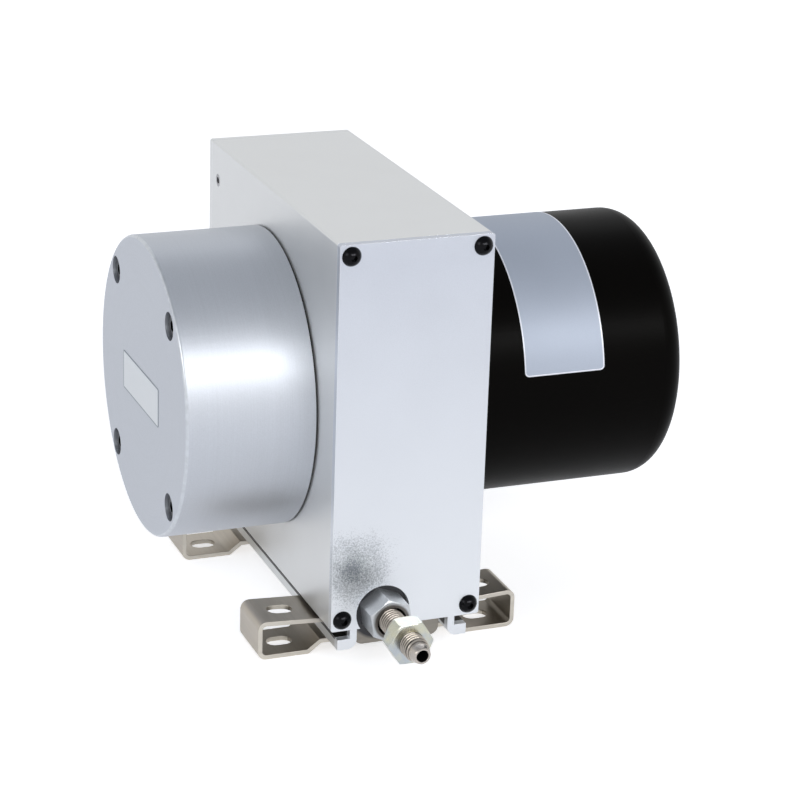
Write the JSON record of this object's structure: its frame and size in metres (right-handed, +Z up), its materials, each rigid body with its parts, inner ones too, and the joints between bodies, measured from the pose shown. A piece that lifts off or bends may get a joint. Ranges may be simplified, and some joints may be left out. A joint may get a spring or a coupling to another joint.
{
  "type": "draw wire encoder",
  "caption": "Measuring wire on a spring-loaded drum in a box body with clamp feet; a round spring housing on one side, a longer rotary sensor housing on the other.",
  "frame": {"origin": "centre of the clamp feet's slot pattern, on the surface that the feet stand on", "axes": "+X along the drum axis towards the sensor housing, -Y the way the wire is drawn out, +Z up from the mounting surface"},
  "size_m": [0.172, 0.1649, 0.1398],
  "materials": {
    "anodised_aluminium": "satin clear anodised extrusion",
    "turned_aluminium": "satin turned and anodised",
    "bare_aluminium": "machined",
    "black_screw": "glossy black oxide",
    "steel": "plain machined steel",
    "bearing_steel": "ground and polished",
    "spring_steel": "blued spring steel",
    "stainless_sheet": "pressed stainless sheet",
    "stainless_block": "milled stainless steel",
    "bright_steel": "bright nickel plated",
    "stainless_stud": "bright threaded stainless steel",
    "zinc_plated": "zinc plated, faint yellow green",
    "wire_rope": "stranded stainless wire",
    "brass": "bare",
    "white_plastic": "natural acetal",
    "black_rubber": "matte",
    "red_rubber": "matte",
    "matte_black": "fine matte black",
    "black_plastic": "matte",
    "blue_plastic": "moulded case",
    "green_board": "solder mask",
    "board_plastic": "moulded parts"
  },
  "bodies": {
    "housing": {"housing_frame": "anodised_aluminium", "front_plate": "anodised_aluminium", "rear_plate": "anodised_aluminium", "front_plate_screws": "black_screw", "rear_plate_screws": "black_screw", "side_plug_screw": "steel", "outlet_block": "stainless_block", "outlet_block_screws": "steel", "outlet_nozzle": "bright_steel", "wire_guide_bush": "white_plastic", "rubber_stop": "black_rubber", "left_bearing_carrier": "bare_aluminium", "left_carrier_screws": "steel", "left_bearing_outer": "bearing_steel", "right_bearing_carrier": "bare_aluminium", "right_carrier_screws": "steel", "right_bearing_outer": "bearing_steel", "spring_housing_gasket": "black_rubber", "spring_housing": "turned_aluminium", "spring_housing_screws": "black_screw", "mainspring": "spring_steel", "spring_anchor_pin": "steel", "spring_cover": "bare_aluminium", "spring_cover_screws": "steel", "sensor_adapter_ring": "bare_aluminium", "adapter_screws": "steel", "sensor_housing": "matte_black", "sensor_housing_screws": "black_screw", "sensor_pillars": "brass", "sensor_plate": "bare_aluminium", "sensor_plate_screws": "steel", "rotary_sensor": "blue_plastic", "board_pillars": "brass", "circuit_board": "green_board", "board_parts": "board_plastic", "cable_gland": "black_plastic", "gland_cap_nut": "black_plastic"},
    "drum": {"drum": "bare_aluminium", "drum_set_screws": "steel", "wire_turns_on_drum": "wire_rope", "drum_shaft": "steel", "shaft_rings": "spring_steel", "left_bearing_inner": "bearing_steel", "right_bearing_inner": "bearing_steel", "spring_arbor": "steel", "arbor_pin": "steel", "coupling_hubs": "bare_aluminium", "coupling_spider": "red_rubber", "sensor_shaft": "steel"},
    "bearing_balls": {"left_bearing_balls": "bearing_steel", "right_bearing_balls": "bearing_steel"},
    "wire_end": {"wire_stud": "stainless_stud", "stud_nut": "zinc_plated", "wire_ferrule": "brass", "wire_lead": "wire_rope"},
    "front_left_foot": {"front_left_foot": "stainless_sheet"},
    "front_right_foot": {"front_right_foot": "stainless_sheet"},
    "rear_left_foot": {"rear_left_foot": "stainless_sheet"},
    "rear_right_foot": {"rear_right_foot": "stainless_sheet"}
  },
  "joints": [
    {"name": "drum_spin", "type": "hinge", "parent": "housing", "child": "drum", "pos_m": [0, 0, 0.07729], "axis": [-1, 0, 0], "range_deg": [0, 2918.9], "stiffness_Nm_per_rad": 0.0046, "springref_deg": -5844.17, "deforming": ["mainspring"]},
    {"name": "bearing_ball_orbit", "type": "hinge", "parent": "housing", "child": "bearing_balls", "pos_m": [0, 0, 0.07729], "axis": [-1, 0, 0], "range_deg": [0, 1102.9]},
    {"name": "wire_pull", "type": "slide", "parent": "housing", "child": "wire_end", "axis": [0, -1, 0], "range_m": [0, 3], "deforming": ["wire_lead"]},
    {"name": "front_left_foot_slide", "type": "slide", "parent": "housing", "child": "front_left_foot", "axis": [0, 1, 0], "range_m": [-0.013, 0.03]},
    {"name": "front_right_foot_slide", "type": "slide", "parent": "housing", "child": "front_right_foot", "axis": [0, 1, 0], "range_m": [-0.013, 0.03]},
    {"name": "rear_left_foot_slide", "type": "slide", "parent": "housing", "child": "rear_left_foot", "axis": [0, 1, 0], "range_m": [-0.03, 0.013]},
    {"name": "rear_right_foot_slide", "type": "slide", "parent": "housing", "child": "rear_right_foot", "axis": [0, 1, 0], "range_m": [-0.03, 0.013]}
  ],
  "couplings": [
    {"joint": "wire_pull", "follows": "drum_spin", "m_per_rad": 0.058887},
    {"joint": "bearing_ball_orbit", "follows": "drum_spin", "ratio": 0.37778}
  ]
}
